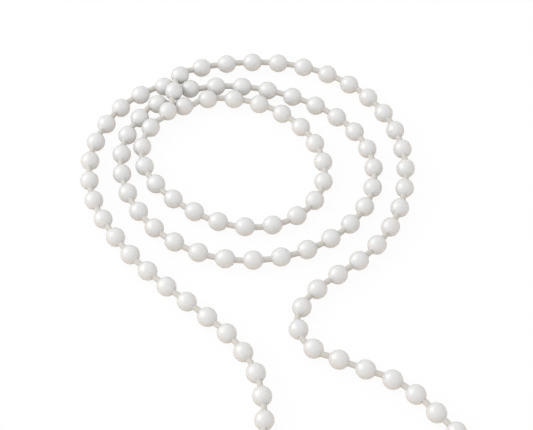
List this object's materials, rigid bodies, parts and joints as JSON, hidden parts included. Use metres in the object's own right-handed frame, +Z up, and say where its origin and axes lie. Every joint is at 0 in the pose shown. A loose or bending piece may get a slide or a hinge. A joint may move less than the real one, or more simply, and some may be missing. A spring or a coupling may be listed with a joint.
{
  "type": "blind chain",
  "caption": "Beaded operating chain of a roller blind, round white plastic beads on one cord, lying flat in loose nested turns with two free tails.",
  "frame": {"origin": "middle of the outline of the whole chain, on the surface that it lies on", "axes": "+Z up from the surface, +Y from the free tails towards the coil, +X to the right as seen from the tails"},
  "size_m": [0.0847, 0.1201, 0.0057],
  "materials": {
    "bead_plastic": "satin white moulded plastic",
    "polyester_cord": "tightly braided warm off-white cord"
  },
  "bodies": {
    "root": {"bead_chain": "bead_plastic"}
  },
  "joints": []
}
